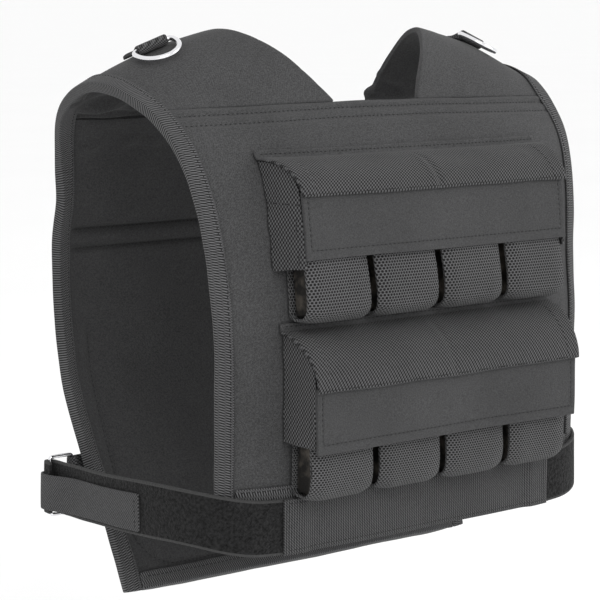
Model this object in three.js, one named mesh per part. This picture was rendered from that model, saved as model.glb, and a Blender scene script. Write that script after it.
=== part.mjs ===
// Weighted vest: two padded panels joined by wide padded shoulders, bound sides, two rows of
// webbing sleeves with iron bars under hooded flaps, a waist belt and two D-rings.
// Millimetres, +Z up. The front faces -Y and the wearer's right hand is at -X.
// The origin is between the shoulders, where the vest sits on its wearer.
import * as THREE from "three";
import { mergeVertices } from "three/addons/utils/BufferGeometryUtils.js";

// Driving sizes of the shell
const HALF_WIDTH = 187;
const DEPTH = 225;
const FRONT_DROP = 288;
const BACK_DROP = 376;
const CREST_RISE = 24;
const NECK_HALF = 98;
const EDGE_THICKNESS = 4.4;
const FRONT_PAD = 8;
const BACK_PAD = 10;
const SHOULDER_PAD = 12;
const SEAM_PAD = 6;
const PAD_SLOPE = 36;
const SHOULDER_BULGE = 5;
const GAP = 0.3;

// Woven tape that binds the edges
const TAPE_WIDTH = 12.5;
const TAPE = 1.2;
const TAPE_SLACK = 0.5;
const TAPE_END = 1;

// Pouch rows
const SLEEVES_PER_ROW = 4;
const BAND_HALF = 114;
const ROW_SPARE = 2;
const SLEEVE_SPACE = 8;
const SLEEVE_PITCH = (2 * (BAND_HALF + ROW_SPARE)) / SLEEVES_PER_ROW;
const SLEEVE_WIDTH = SLEEVE_PITCH - SLEEVE_SPACE;
const SLEEVE_DEPTH = 25;
const SLEEVE_HEIGHT = 76;
const WEBBING = 1.8;
const SLEEVE_CORNER = 7;
const BAR_INSET = 4;
const BAR_WIDTH = SLEEVE_WIDTH - BAR_INSET;
const BAR_LENGTH = 84;
const BAR_THICKNESS = 20;
const BAR_CORNER = 4;
const BAR_LIFT = 2.8;
const HOOD_CLOTH = 1.8;
const HOOD_FLANGE = 5;
const HOOD_SAG = 2.5;
const HOOD_OVERHANG = 1.5;
const BAND_HEIGHT = 41;
const BAND_CLOTH = 2;
const BAND_LAP = 3;
const WING_CLOTH = 1.4;

// Waist belt
const BELT_WIDTH = 38;
const BELT_LAP = 4;
const BELT_BAND_HALF = 118;
const BELT_BAND_CLOTH = 1.8;
const STRAP_CLOTH = 2.4;
const STRAP_TUCK = 14;
const STRAP_INSET = 3;
const STRAP_SIDE = HALF_WIDTH - STRAP_INSET;
const STRAP_REACH = 190;
const STRAP_RISE = 8;
const STRAP_END = 7;
const PULL_TAB_WIDTH = 26;
const PULL_TAB_CLOTH = 1.6;
const PULL_TAB_LENGTH = 117;
const PULL_TAB_DROP = 3;
const LOOP_WIRE = 3.2;
const LOOP_INSIDE_WIDTH = 15;
const LOOP_INSIDE_HEIGHT = 39.4;
const LOOP_CORNER = 2.1;
const LOOP_CLEAR = 0.7;
const ANCHOR_WIDTH = 44;
const ANCHOR_CLOTH = 2;
const ANCHOR_SEWN = 42;

// D-rings on the shoulders
const RING_INSIDE = 27;
const RING_REACH = 20.5;
const RING_WIRE = 4.2;
const RING_CORNER = 4;
const RING_LIE = 9;
const RING_TAB_WIDTH = 23;
const RING_TAB_CLOTH = 1.3;
const RING_TAB_LENGTH = 30;
const RING_TAB_LIFT = 0.5;
const RING_PLACE = { station: 11.9, across: 0.53 };

// Colour, roughness and metalness of each material
const LOOKS = {
  cloth: [0x3c3c3e, 0.9, 0],
  weave: [0x343436, 0.95, 0],
  tape: [0x464648, 0.85, 0],
  webbing: [0x3a3a3c, 0.9, 0],
  pile: [0x242426, 1, 0],
  iron: [0x4a4038, 0.6, 0.5],
  chrome: [0xd8d8dc, 0.2, 1],
};

// Shell stations from the front's bottom edge over the shoulder to the back's bottom edge.
// The inner point is where the flat middle or the neck edge lies, the outer one the arm edge.
// Across is a share of HALF_WIDTH, or of NECK_HALF for inner; deep is a share of DEPTH.
// High runs 0 to 1 up the front panel, is a share of CREST_RISE on the shoulder, and runs
// 0 to 1 down the back panel. Bend is how late the section turns back towards its edge.
const FRONT_ROWS = [
  { inner: 0.378, innerDeep: -0.52, outer: 0.856, outerDeep: -0.446, high: 0, bend: 5 },
  { inner: 0.378, innerDeep: -0.528, outer: 0.856, outerDeep: -0.448, high: 0.2, bend: 5 },
  { inner: 0.378, innerDeep: -0.528, outer: 0.856, outerDeep: -0.449, high: 0.41, bend: 5 },
  { inner: 0.378, innerDeep: -0.506, outer: 0.863, outerDeep: -0.437, high: 0.59, bend: 4.6 },
  { inner: 0.378, innerDeep: -0.484, outer: 0.883, outerDeep: -0.41, high: 0.725, bend: 4.2 },
  { inner: 0.378, innerDeep: -0.457, outer: 0.903, outerDeep: -0.374, high: 0.83, bend: 3.6 },
  { inner: 0.378, innerDeep: -0.405, outer: 0.924, outerDeep: -0.32, high: 0.917, bend: 2.6 },
];
const SHOULDER_ROWS = [
  { inner: 0.378, innerDeep: -0.302, outer: 0.946, outerDeep: -0.236, innerHigh: -1.04, outerHigh: -1.17 },
  { inner: 0.51, innerDeep: -0.249, outer: 0.966, outerDeep: -0.182, innerHigh: -0.33, outerHigh: -0.92 },
  { inner: 0.602, innerDeep: -0.204, outer: 0.979, outerDeep: -0.138, innerHigh: 0.17, outerHigh: -0.75 },
  { inner: 0.694, innerDeep: -0.151, outer: 0.989, outerDeep: -0.089, innerHigh: 0.54, outerHigh: -0.62 },
  { inner: 0.8, innerDeep: -0.089, outer: 0.997, outerDeep: -0.036, innerHigh: 0.85, outerHigh: -0.54 },
  { inner: 0.9, innerDeep: -0.018, outer: 1, outerDeep: 0.022, innerHigh: 1, outerHigh: -0.52 },
  { inner: 0.96, innerDeep: 0.076, outer: 1, outerDeep: 0.093, innerHigh: 0.83, outerHigh: -0.6 },
  { inner: 0.99, innerDeep: 0.156, outer: 0.989, outerDeep: 0.164, innerHigh: 0.37, outerHigh: -0.79 },
  { inner: 1, innerDeep: 0.231, outer: 0.973, outerDeep: 0.236, innerHigh: -0.37, outerHigh: -1.08 },
  { inner: 1, innerDeep: 0.324, outer: 0.947, outerDeep: 0.32, innerHigh: -1.58, outerHigh: -1.54 },
];
const BACK_ROWS = [
  { inner: 1, innerDeep: 0.413, outer: 0.914, outerDeep: 0.38, high: 0.083, bend: 2 },
  { inner: 1, innerDeep: 0.449, outer: 0.909, outerDeep: 0.366, high: 0.178, bend: 2.6 },
  { inner: 1, innerDeep: 0.471, outer: 0.909, outerDeep: 0.409, high: 0.249, bend: 3 },
  { inner: 1, innerDeep: 0.484, outer: 0.906, outerDeep: 0.418, high: 0.35, bend: 3 },
  { inner: 1, innerDeep: 0.471, outer: 0.906, outerDeep: 0.391, high: 0.5, bend: 3 },
  { inner: 1, innerDeep: 0.44, outer: 0.9, outerDeep: 0.364, high: 0.586, bend: 3 },
  { inner: 1, innerDeep: 0.333, outer: 0.882, outerDeep: 0.271, high: 0.746, bend: 3 },
  { inner: 1, innerDeep: 0.213, outer: 0.856, outerDeep: 0.164, high: 0.873, bend: 3 },
  { inner: 1, innerDeep: 0.076, outer: 0.84, outerDeep: 0.1, high: 1, bend: 3 },
];

// Pouch rows: bottom, the hood's seam and the band's top as shares of FRONT_DROP above the
// front's bottom edge, the hood's half width at the panel as a share of HALF_WIDTH, how far the
// hood's lip stands off as a share of SLEEVE_DEPTH, and the wings' bottom as a share of the
// sleeve height above the row's bottom
const POUCH_ROWS = [
  { name: "upper", bottom: 0.42, seam: 0.795, bandTop: 0.705, half: 1.0794, standOff: 1.22, wing: 0.47 },
  { name: "lower", bottom: 0.017, seam: 0.406, bandTop: 0.281, half: 1.0433, standOff: 1.36, wing: 0.5 },
];

// Hood profile from the panel to the band's top: shares of the stand-off and of its fall
const HOOD_PROFILE = [
  { out: 0.1, fall: 0.01 },
  { out: 0.38, fall: 0.08 },
  { out: 0.7, fall: 0.3 },
  { out: 0.94, fall: 0.66 },
  { out: 1, fall: 1 },
];

// Belt strap in plan from the belt band to the metal loop: across as a share of STRAP_SIDE,
// along as a share of STRAP_REACH past the band's end, and lift as a share of STRAP_RISE
const STRAP_ROUTE = [
  { across: 0.757, along: 0.012, lift: 0.2 },
  { across: 0.85, along: 0.05, lift: 0.6 },
  { across: 0.919, along: 0.132, lift: 0.95 },
  { across: 0.962, along: 0.255, lift: 1 },
  { across: 0.989, along: 0.433, lift: 0.8 },
  { across: 1, along: 0.62, lift: 0.5 },
  { across: 1, along: 0.805, lift: 0.25 },
  { across: 1, along: 0.93, lift: 0.05 },
];

const HEM_HIGH = SHOULDER_ROWS[0].innerHigh * CREST_RISE;
const BACK_SEAM_HIGH = SHOULDER_ROWS[SHOULDER_ROWS.length - 1].innerHigh * CREST_RISE;
const HEM_STATION = FRONT_ROWS.length;
const SEAM_STATION = HEM_STATION + SHOULDER_ROWS.length - 1;
const LAST_STATION = SEAM_STATION + BACK_ROWS.length;

const lerp = THREE.MathUtils.lerp;
const vec = (x, y, z) => new THREE.Vector3(x, y, z);

function material(look) {
  const [color, roughness, metalness] = LOOKS[look];
  return new THREE.MeshStandardMaterial({ color, roughness, metalness });
}

// Turns the faces outward if the closed mesh is inside out
function outward(geometry) {
  geometry.deleteAttribute("normal");
  geometry.deleteAttribute("uv");
  const solid = mergeVertices(geometry, 1e-4);
  const at = solid.getAttribute("position");
  const index = Array.from(solid.getIndex().array);
  const [a, b, c] = [vec(), vec(), vec()];
  let volume = 0;
  for (let i = 0; i < index.length; i += 3) {
    a.fromBufferAttribute(at, index[i]);
    b.fromBufferAttribute(at, index[i + 1]);
    c.fromBufferAttribute(at, index[i + 2]);
    volume += a.dot(b.cross(c));
  }
  if (volume < 0) {
    for (let i = 0; i < index.length; i += 3) {
      [index[i + 1], index[i + 2]] = [index[i + 2], index[i + 1]];
    }
    solid.setIndex(index);
  }
  return solid;
}

function mesh(name, geometry, look) {
  const solid = outward(geometry);
  solid.computeVertexNormals();
  const result = new THREE.Mesh(solid, material(look));
  result.name = name;
  return result;
}

function fromPointsAndFaces(points, faces) {
  const geometry = new THREE.BufferGeometry();
  geometry.setAttribute("position", new THREE.Float32BufferAttribute(points.flatMap((p) => p.toArray()), 3));
  geometry.setIndex(faces);
  return geometry;
}

// Two triangles for a four-sided face, split along the diagonal that stands further out, so
// that faces which lie over each other are split alike
const SHELL_MIDDLE = vec(0, 0, -FRONT_DROP / 2);
const middleFar = (p, q) => p.clone().add(q).divideScalar(2).distanceTo(SHELL_MIDDLE);
function split(points, a, b, c, d) {
  const alongAC = middleFar(points[a], points[c]) >= middleFar(points[b], points[d]);
  return alongAC ? [a, b, c, a, c, d] : [a, b, d, b, c, d];
}

// Closed sheet between two grids of points, rows by columns
function sheet(outer, inner) {
  const rows = outer.length;
  const columns = outer[0].length;
  const points = [...outer.flat(), ...inner.flat()];
  const top = (r, c) => r * columns + c;
  const under = (r, c) => rows * columns + top(r, c);
  const faces = [];
  const quad = (a, b, c, d) => faces.push(...split(points, a, b, c, d));
  for (let r = 0; r + 1 < rows; r++) {
    for (let c = 0; c + 1 < columns; c++) {
      quad(top(r, c), top(r, c + 1), top(r + 1, c + 1), top(r + 1, c));
      quad(under(r, c), under(r + 1, c), under(r + 1, c + 1), under(r, c + 1));
    }
    quad(top(r, 0), top(r + 1, 0), under(r + 1, 0), under(r, 0));
    quad(top(r + 1, columns - 1), top(r, columns - 1), under(r, columns - 1), under(r + 1, columns - 1));
  }
  for (let c = 0; c + 1 < columns; c++) {
    quad(top(0, c + 1), top(0, c), under(0, c), under(0, c + 1));
    quad(top(rows - 1, c), top(rows - 1, c + 1), under(rows - 1, c + 1), under(rows - 1, c));
  }
  return fromPointsAndFaces(points, faces);
}

// Closed body through rings of points; an outline gives the end caps, none joins the ends
function loft(rings, outline) {
  const around = rings[0].length;
  const points = rings.flat();
  const faces = [];
  const spans = outline ? rings.length - 1 : rings.length;
  for (let r = 0; r < spans; r++) {
    const here = r * around;
    const next = ((r + 1) % rings.length) * around;
    for (let j = 0; j < around; j++) {
      const k = (j + 1) % around;
      faces.push(...split(points, here + j, next + j, next + k, here + k));
    }
  }
  if (outline) {
    const last = (rings.length - 1) * around;
    const clockwise = THREE.ShapeUtils.isClockWise(outline);
    for (const cap of THREE.ShapeUtils.triangulateShape(outline, [])) {
      const [a, b, c] = clockwise ? cap.reverse() : cap;
      faces.push(a, b, c, last + c, last + b, last + a);
    }
  }
  return fromPointsAndFaces(points, faces);
}

const mirrorX = (p) => vec(-p.x, p.y, p.z);

// Shell stations as two curves, one along the flat middle or neck edge, one along the arm edge
const FRONT_BOTTOM = -FRONT_DROP;
const STATIONS = [
  ...FRONT_ROWS.map((row) => {
    const z = lerp(FRONT_BOTTOM, HEM_HIGH, row.high);
    return { ...row, innerZ: z, outerZ: z };
  }),
  ...SHOULDER_ROWS.map((row) => ({
    ...row,
    innerZ: row.innerHigh * CREST_RISE,
    outerZ: row.outerHigh * CREST_RISE,
    bend: 1,
  })),
  ...BACK_ROWS.map((row) => {
    const z = lerp(BACK_SEAM_HIGH, -BACK_DROP, row.high);
    return { ...row, innerZ: z, outerZ: z };
  }),
];
const innerCurve = new THREE.CatmullRomCurve3(
  STATIONS.map((s) => vec(s.inner * NECK_HALF, s.innerDeep * DEPTH, s.innerZ)),
);
const armCurve = new THREE.CatmullRomCurve3(
  STATIONS.map((s) => vec(s.outer * HALF_WIDTH, s.outerDeep * DEPTH, s.outerZ)),
);

function bendAt(station) {
  const low = Math.min(Math.floor(station), LAST_STATION - 1);
  return lerp(STATIONS[low].bend, STATIONS[low + 1].bend, station - low);
}

// Outer face of the shell's left half; along is the station, across runs 0 at the inner
// curve to 1 at the arm edge
function flatFace(station, across) {
  const share = THREE.MathUtils.clamp(station / LAST_STATION, 0, 1);
  const inner = innerCurve.getPoint(share);
  const arm = armCurve.getPoint(share);
  return vec(
    lerp(inner.x, arm.x, across),
    lerp(inner.y, arm.y, across ** bendAt(station)),
    lerp(inner.z, arm.z, across),
  );
}

const STEP = 0.02;

function normalOf(face, station, across) {
  const s0 = Math.max(station - STEP, 0);
  const s1 = Math.min(station + STEP, LAST_STATION);
  const a0 = Math.max(across - STEP, 0);
  const a1 = Math.min(across + STEP, 1);
  const along = face(s1, across).sub(face(s0, across));
  const over = face(station, a1).sub(face(station, a0));
  const normal = over.cross(along).normalize();
  const out = face(station, across).sub(SHELL_MIDDLE);
  return normal.dot(out) < 0 ? normal.negate() : normal;
}

function bulgeAt(station) {
  const share = THREE.MathUtils.clamp((station - HEM_STATION) / (SEAM_STATION - HEM_STATION), 0, 1);
  return SHOULDER_BULGE * Math.sin(Math.PI * share);
}

function shellFace(station, across) {
  const bulge = bulgeAt(station) * Math.sin(Math.PI * across);
  return flatFace(station, across).addScaledVector(normalOf(flatFace, station, across), bulge);
}

// Strip along the arm edge that the tape covers: its edge point, the way in and its normal
const STRIP = TAPE_WIDTH + GAP;
const TAPE_ROOM = TAPE + TAPE_SLACK;
function armFrame(station) {
  const edge = shellFace(station, 1);
  const span = edge.distanceTo(shellFace(station, 0.5)) * 2;
  const inward = shellFace(station, 1 - STRIP / span).sub(edge).normalize();
  const s0 = Math.max(station - STEP, 0);
  const s1 = Math.min(station + STEP, LAST_STATION);
  const along = shellFace(s1, 1).sub(shellFace(s0, 1));
  const normal = inward.clone().cross(along).normalize();
  if (normal.dot(edge.clone().sub(SHELL_MIDDLE)) < 0) {
    normal.negate();
  }
  return { edge, inward, normal, span };
}

// One row of a padded piece: pairs of outer and inner points from the inner side to the edge
function paddedRow(station, stops, pad, innerPad) {
  const frame = armFrame(station);
  const last = 1 - STRIP / frame.span;
  const row = stops.map((stop) => {
    const across = stop * last;
    const outer = shellFace(station, across);
    const fromEdge = frame.span * (1 - across) - STRIP;
    const fromNeck = innerPad === undefined ? PAD_SLOPE : frame.span * across;
    const near = Math.min(fromEdge, fromNeck, PAD_SLOPE) / PAD_SLOPE;
    const least = fromNeck < fromEdge ? innerPad ?? EDGE_THICKNESS : EDGE_THICKNESS;
    const thick = lerp(least, pad, Math.sin((near * Math.PI) / 2));
    return { outer, inner: outer.clone().addScaledVector(normalOf(shellFace, station, across), -thick) };
  });
  for (const reach of [STRIP, TAPE_ROOM]) {
    const outer = frame.edge.clone().addScaledVector(frame.inward, reach);
    const inner = outer.clone().addScaledVector(frame.normal, -EDGE_THICKNESS);
    if (reach === STRIP) {
      row.pop();
    }
    row.push({ outer, inner });
  }
  return row;
}

const PANEL_STOPS = [0, 0.2, 0.4, 0.56, 0.7, 0.82, 0.92, 1];
const SHOULDER_STOPS = [0, 0.07, 0.2, 0.4, 0.6, 0.8, 0.93, 1];

// Whole row of a panel: the left half mirrored, with a point in the middle
function panelRow(station, pad) {
  const half = paddedRow(station, PANEL_STOPS, pad);
  const middle = { outer: half[0].outer.clone().setX(0), inner: half[0].inner.clone().setX(0) };
  const other = half.map(({ outer, inner }) => ({ outer: mirrorX(outer), inner: mirrorX(inner) })).reverse();
  return [...other, middle, ...half];
}

const spread = (from, to, steps) => Array.from({ length: steps + 1 }, (_, i) => lerp(from, to, i / steps));
const SEAM_MARGIN = GAP / 2 / 12;

// Stations of a panel from its bottom edge to the seam: the second is where its tape ends
function panelStations(bottom, seam, steps) {
  const towards = Math.sign(seam - bottom);
  const start = shellFace(bottom, 0);
  let [near, far] = [0, 1];
  while (far - near > 1e-4) {
    const share = (near + far) / 2;
    const reach = start.distanceTo(shellFace(bottom + towards * share, 0));
    [near, far] = reach < STRIP ? [share, far] : [near, share];
  }
  return [bottom, bottom + towards * far, ...spread(bottom + towards, seam, steps)];
}

function towardsRow(row, next, reach) {
  return row.map((pair, i) => {
    const way = next[i].outer.clone().sub(pair.outer).normalize();
    return {
      outer: pair.outer.clone().addScaledVector(way, reach),
      inner: pair.inner.clone().addScaledVector(way, reach),
      way,
    };
  });
}

// Rows of a panel from its taped bottom edge to just short of the seam
function panelRows(stations, pad) {
  const [bottomStation, stripStation, ...rest] = stations;
  const towards = Math.sign(rest[0] - bottomStation);
  const bottom = panelRow(bottomStation, EDGE_THICKNESS);
  const strip = panelRow(stripStation, EDGE_THICKNESS);
  const edge = towardsRow(bottom, strip, TAPE_ROOM);
  const padded = rest.map((station, i) => {
    const last = i === rest.length - 1;
    const fromSeam = Math.min((rest.length - 1 - i) / 2, 1);
    return panelRow(last ? station - towards * SEAM_MARGIN : station, lerp(SEAM_PAD, pad, fromSeam));
  });
  return { bottom, edge, rows: [edge, strip, ...padded] };
}

function paddedMesh(name, rows) {
  const outer = rows.map((row) => row.map((pair) => pair.outer));
  const inner = rows.map((row) => row.map((pair) => pair.inner));
  return mesh(name, sheet(outer, inner), "cloth");
}

// Folded tape round an edge: inward reach and height over the cloth's outer face
const TAPE_SECTION = [
  [0, TAPE_ROOM],
  [TAPE_WIDTH, TAPE_ROOM],
  [TAPE_WIDTH, TAPE_SLACK],
  [TAPE, TAPE_SLACK],
  [TAPE, -EDGE_THICKNESS - TAPE_SLACK],
  [TAPE_WIDTH, -EDGE_THICKNESS - TAPE_SLACK],
  [TAPE_WIDTH, -EDGE_THICKNESS - TAPE_ROOM],
  [0, -EDGE_THICKNESS - TAPE_ROOM],
];
const TAPE_OUTLINE = TAPE_SECTION.map(([reach, height]) => new THREE.Vector2(reach, height));

function tape(name, frames) {
  const rings = frames.map(({ edge, inward, normal }) =>
    TAPE_SECTION.map(([reach, height]) =>
      edge.clone().addScaledVector(inward, reach).addScaledVector(normal, height),
    ),
  );
  return mesh(name, loft(rings, TAPE_OUTLINE), "tape");
}

const SIDES = [
  { side: "right", sign: -1 },
  { side: "left", sign: 1 },
];
const onSide = (sign, p) => vec(p.x * sign, p.y, p.z);

// Shell
const FRONT_STEPS = 9;
const BACK_STEPS = 12;
const SHOULDER_STEPS = 13;
const frontStations = panelStations(0, HEM_STATION, FRONT_STEPS);
const backStations = panelStations(LAST_STATION, SEAM_STATION, BACK_STEPS);
const shoulderStations = spread(HEM_STATION, SEAM_STATION, SHOULDER_STEPS);
const front = panelRows(frontStations, FRONT_PAD);
const back = panelRows(backStations, BACK_PAD);

function shoulderRows() {
  return shoulderStations.map((station, i) => {
    const inset = i === 0 ? SEAM_MARGIN : i === SHOULDER_STEPS ? -SEAM_MARGIN : 0;
    const fromSeam = Math.min(i, SHOULDER_STEPS - i, 2) / 2;
    return paddedRow(station + inset, SHOULDER_STOPS, lerp(SEAM_PAD, SHOULDER_PAD, fromSeam), EDGE_THICKNESS);
  });
}

function sideTape(sign) {
  const stations = [...frontStations, ...shoulderStations.slice(1), ...backStations.toReversed().slice(1)];
  return stations.map((station) => {
    const { edge, inward, normal } = armFrame(station);
    return { edge: onSide(sign, edge), inward: onSide(sign, inward), normal: onSide(sign, normal) };
  });
}

// Tape along a panel's bottom edge, between the two side tapes
function bottomTape(name, panel) {
  const frames = panel.bottom.slice(1, -1).map((pair, i) => ({
    edge: pair.outer.clone(),
    inward: panel.edge[i + 1].way,
    normal: pair.outer.clone().sub(pair.inner).normalize(),
  }));
  const [first, second] = frames;
  const [last, beforeLast] = frames.toReversed();
  first.edge.addScaledVector(second.edge.clone().sub(first.edge).normalize(), TAPE_END);
  last.edge.addScaledVector(beforeLast.edge.clone().sub(last.edge).normalize(), TAPE_END);
  return tape(name, frames);
}

// Point of the front panel's outer face from its distance across and its height
function frontPoint(x, height) {
  let [low, high] = [0, HEM_STATION];
  while (high - low > 1e-4) {
    const middle = (low + high) / 2;
    [low, high] = flatFace(middle, 0).z < FRONT_BOTTOM + height ? [middle, high] : [low, middle];
  }
  const inner = flatFace(low, 0);
  const arm = flatFace(low, 1);
  const across = THREE.MathUtils.clamp((Math.abs(x) - inner.x) / (arm.x - inner.x), 0, 1);
  return flatFace(low, across).setX(x);
}

// Grid a cloth's thickness behind another one
function behind(grid, thickness, outwards) {
  return grid.map((row, r) =>
    row.map((p, c) => {
      const along = (grid[r + 1]?.[c] ?? p).clone().sub(grid[r - 1]?.[c] ?? p);
      const over = (row[c + 1] ?? p).clone().sub(row[c - 1] ?? p);
      const normal = over.cross(along).normalize();
      const side = normal.dot(outwards) < 0 ? thickness : -thickness;
      return p.clone().addScaledVector(normal, side);
    }),
  );
}

// Shape drawn in two directions and carried along a third, put in place point by point
function extruded(shape, from, length, put) {
  const geometry = new THREE.ExtrudeGeometry(shape, {
    depth: length,
    bevelEnabled: false,
    curveSegments: 4,
  });
  const at = geometry.getAttribute("position");
  for (let i = 0; i < at.count; i++) {
    const p = put(at.getX(i), at.getY(i), from + at.getZ(i));
    at.setXYZ(i, p.x, p.y, p.z);
  }
  return geometry;
}

// Frame of a pouch row: forward from the panel and high above the row's bottom
function rowFrame(bottom) {
  const base = frontPoint(0, bottom);
  const up = frontPoint(0, bottom + SLEEVE_HEIGHT).sub(base).normalize();
  const out = vec(0, -up.z, up.y);
  const heights = spread(bottom, bottom + SLEEVE_HEIGHT, 8);
  const bulge = Math.max(...heights.map((height) => frontPoint(0, height).sub(base).dot(out)));
  const overTape = bottom < STRIP ? TAPE_ROOM : 0;
  const origin = base.clone().addScaledVector(out, bulge + overTape + GAP);
  const place = (x, forward, high) =>
    origin.clone().addScaledVector(out, forward).addScaledVector(up, high).setX(x);
  const locate = (p) => ({
    forward: p.clone().sub(origin).dot(out),
    high: p.clone().sub(origin).dot(up),
  });
  return { place, locate, out, up };
}

function sleeveShape() {
  const inner = SLEEVE_CORNER - WEBBING;
  const front = SLEEVE_DEPTH - SLEEVE_CORNER;
  const shape = new THREE.Shape();
  shape.moveTo(0, SLEEVE_HEIGHT);
  shape.absarc(SLEEVE_CORNER, SLEEVE_CORNER, SLEEVE_CORNER, Math.PI, Math.PI * 1.5, false);
  shape.absarc(front, SLEEVE_CORNER, SLEEVE_CORNER, Math.PI * 1.5, Math.PI * 2, false);
  shape.lineTo(SLEEVE_DEPTH, SLEEVE_HEIGHT);
  shape.lineTo(SLEEVE_DEPTH - WEBBING, SLEEVE_HEIGHT);
  shape.absarc(front, SLEEVE_CORNER, inner, Math.PI * 2, Math.PI * 1.5, true);
  shape.absarc(SLEEVE_CORNER, SLEEVE_CORNER, inner, Math.PI * 1.5, Math.PI, true);
  shape.lineTo(WEBBING, SLEEVE_HEIGHT);
  return shape;
}

function barShape() {
  const [x, y, r] = [BAR_WIDTH / 2, BAR_THICKNESS / 2, BAR_CORNER];
  const shape = new THREE.Shape();
  shape.absarc(x - r, y - r, r, 0, Math.PI / 2, false);
  shape.absarc(r - x, y - r, r, Math.PI / 2, Math.PI, false);
  shape.absarc(r - x, r - y, r, Math.PI, Math.PI * 1.5, false);
  shape.absarc(x - r, r - y, r, Math.PI * 1.5, Math.PI * 2, false);
  return shape;
}

// One row of pouches: sleeves, bars, hood, flap band and the two wings
function pouchRow({ name, bottom, seam, bandTop, half, standOff, wing }) {
  const low = bottom * FRONT_DROP;
  const { place, locate, out, up } = rowFrame(low);
  const group = new THREE.Group();
  for (let i = 0; i < SLEEVES_PER_ROW; i++) {
    const x = (i - (SLEEVES_PER_ROW - 1) / 2) * SLEEVE_PITCH;
    const sleeve = extruded(sleeveShape(), x - SLEEVE_WIDTH / 2, SLEEVE_WIDTH, (f, h, w) => place(w, f, h));
    group.add(mesh(`${name}_sleeve_${i + 1}`, sleeve, "webbing"));
    const bar = extruded(barShape(), WEBBING + BAR_LIFT, BAR_LENGTH, (w, f, h) =>
      place(x + w, SLEEVE_DEPTH / 2 + f, h),
    );
    group.add(mesh(`${name}_bar_${i + 1}`, bar, "iron"));
  }

  const lip = { forward: standOff * SLEEVE_DEPTH, high: (bandTop - bottom) * FRONT_DROP };
  const hoodHalf = half * BAND_HALF;
  const lipHalf = BAND_HALF + HOOD_OVERHANG;
  const sewnOff = 3 * GAP + HOOD_CLOTH;
  const columns = spread(-1, 1, 8);
  const sewn = (share, height) => {
    const at = frontPoint(share * hoodHalf, height);
    const { forward, high } = locate(at);
    return { x: at.x, forward: forward + sewnOff, high };
  };
  const flange = [seam * FRONT_DROP + HOOD_FLANGE, seam * FRONT_DROP].map((height) =>
    columns.map((share) => {
      const { x, forward, high } = sewn(share, height);
      return place(x, forward, high);
    }),
  );
  const slope = HOOD_PROFILE.map((step) =>
    columns.map((share) => {
      const { x, forward, high } = sewn(share, seam * FRONT_DROP);
      const sag = HOOD_SAG * Math.cos((share * Math.PI) / 2) * Math.sin(Math.PI * step.out);
      return place(
        lerp(x, share * lipHalf, step.out),
        lerp(forward, lip.forward, step.out),
        lerp(high, lip.high, step.fall) - sag,
      );
    }),
  );
  const hoodTop = [...flange, ...slope];
  const hoodUnder = behind(hoodTop, HOOD_CLOTH, out.clone().add(up));
  group.add(mesh(`${name}_hood`, sheet(hoodTop, hoodUnder), "weave"));

  const bandFace = lip.forward - HOOD_CLOTH - 3.5 * GAP;
  const bandRows = [lip.high + BAND_LAP, lip.high - BAND_HEIGHT].map((high) =>
    spread(-BAND_HALF, BAND_HALF, 8).map((x) => place(x, bandFace, high)),
  );
  group.add(mesh(`${name}_band`, sheet(bandRows, behind(bandRows, BAND_CLOTH, out)), "cloth"));

  const wingFront = bandFace - BAND_CLOTH - GAP;
  const wingLow = wing * SLEEVE_HEIGHT;
  for (const { side, sign } of SIDES) {
    const edge = hoodUnder.slice(1).map((row) => (sign < 0 ? row[0] : row[row.length - 1]));
    const stops = edge.map((p) => ({ x: Math.abs(p.x) - HOOD_OVERHANG, ...locate(p) }));
    const start = stops[0];
    const grid = [0, 0.33, 0.67, 1].map((down) =>
      stops.map((stop, i) => {
        const share = Math.min((stop.forward - start.forward) / (wingFront - start.forward), 1);
        const high = lerp(stop.high - 1, wingLow, down);
        const panel = locate(frontPoint(stop.x, low + high)).forward + GAP + 1.7;
        const last = i === stops.length - 1 || share === 1;
        return place(sign * stop.x, lerp(panel, wingFront, last ? 1 : share), high);
      }),
    );
    const wingGrid = grid.map((row) => row.filter((_, i) => i === 0 || stops[i - 1].forward < wingFront - 1));
    const inside = behind(wingGrid, WING_CLOTH, vec(sign, 0, 0));
    group.add(mesh(`${name}_wing_${side}`, sheet(wingGrid, inside), "weave"));
  }
  return group.children.slice();
}

// Flat strap along a path of points, each with the direction of its width
function ribbon(path, cloth) {
  const rings = path.map(({ at, up, width }, i) => {
    const along = (path[i + 1] ?? path[i]).at.clone().sub((path[i - 1] ?? path[i]).at).normalize();
    const side = along.cross(up).normalize();
    const corner = (n, u) => at.clone().addScaledVector(side, (n * cloth) / 2).addScaledVector(up, (u * width) / 2);
    return [corner(1, 1), corner(-1, 1), corner(-1, -1), corner(1, -1)];
  });
  const outline = [[1, 1], [-1, 1], [-1, -1], [1, -1]].map(([n, u]) => new THREE.Vector2(n, u));
  return loft(rings, outline);
}

// Round wire along a closed flat path
function wire(path, facing, thickness, sides) {
  const rings = path.map((at, i) => {
    const next = path[(i + 1) % path.length];
    const before = path[(i + path.length - 1) % path.length];
    const side = next.clone().sub(before).normalize().cross(facing).normalize();
    return spread(0, 2 * Math.PI, sides)
      .slice(1)
      .map((turn) =>
        at
          .clone()
          .addScaledVector(side, (Math.cos(turn) * thickness) / 2)
          .addScaledVector(facing, (Math.sin(turn) * thickness) / 2),
      );
  });
  return loft(rings);
}

// Points of an arc in two directions from a centre
function arc(centre, u, v, radius, from, to, steps) {
  return spread(from, to, steps).map((degrees) => {
    const turn = THREE.MathUtils.degToRad(degrees);
    return centre
      .clone()
      .addScaledVector(u, Math.cos(turn) * radius)
      .addScaledVector(v, Math.sin(turn) * radius);
  });
}

const X = vec(1, 0, 0);
const Y = vec(0, 1, 0);
const Z = vec(0, 0, 1);

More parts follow.
